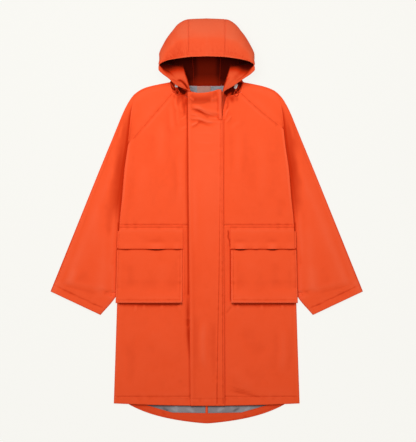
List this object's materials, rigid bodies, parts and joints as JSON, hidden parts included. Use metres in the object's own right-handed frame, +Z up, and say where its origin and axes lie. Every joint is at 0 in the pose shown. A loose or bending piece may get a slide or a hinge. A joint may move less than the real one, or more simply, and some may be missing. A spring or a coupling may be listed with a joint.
{
  "type": "hooded parka laid flat",
  "caption": "Long hooded rain parka laid face up, with raglan sleeves, a storm flap, patch pockets with flaps, a curved back hem and an open hood.",
  "frame": {"origin": "bottom centre of the part's box, on the surface that the coat lies on", "axes": "+Z up from the surface, +Y from the hem to the hood, +X to the right of the view from above"},
  "size_m": [1.02, 1.3352, 0.105],
  "materials": {
    "shell_cloth": "matte coated orange rain cloth with a fine plain weave",
    "lining_coating": "grey coated inner face of the cloth",
    "label_tape": "blank pinkish woven tape",
    "lock_plastic": "off-white moulded plastic",
    "elastic_cord": "braided orange elastic"
  },
  "bodies": {
    "root": {"back_left": "shell_cloth", "back_right": "shell_cloth", "front_upper_left": "shell_cloth", "front_upper_right": "shell_cloth", "front_lower_left": "shell_cloth", "front_lower_right": "shell_cloth", "sleeve_back_left": "shell_cloth", "sleeve_back_right": "shell_cloth", "sleeve_front_left": "shell_cloth", "sleeve_front_right": "shell_cloth", "pocket_left": "shell_cloth", "pocket_right": "shell_cloth", "pocket_flap_left": "shell_cloth", "pocket_flap_right": "shell_cloth", "storm_flap": "shell_cloth", "hood_centre": "shell_cloth", "hood_side_left": "shell_cloth", "hood_side_right": "shell_cloth", "hem_facing": "shell_cloth", "back_seam_tape": "shell_cloth", "hem_lining_left": "lining_coating", "hem_lining_right": "lining_coating", "neck_lining": "lining_coating", "neck_label": "label_tape", "cord_lock_left": "lock_plastic", "cord_lock_right": "lock_plastic", "hood_cord_left": "elastic_cord", "hood_cord_right": "elastic_cord"}
  },
  "joints": []
}
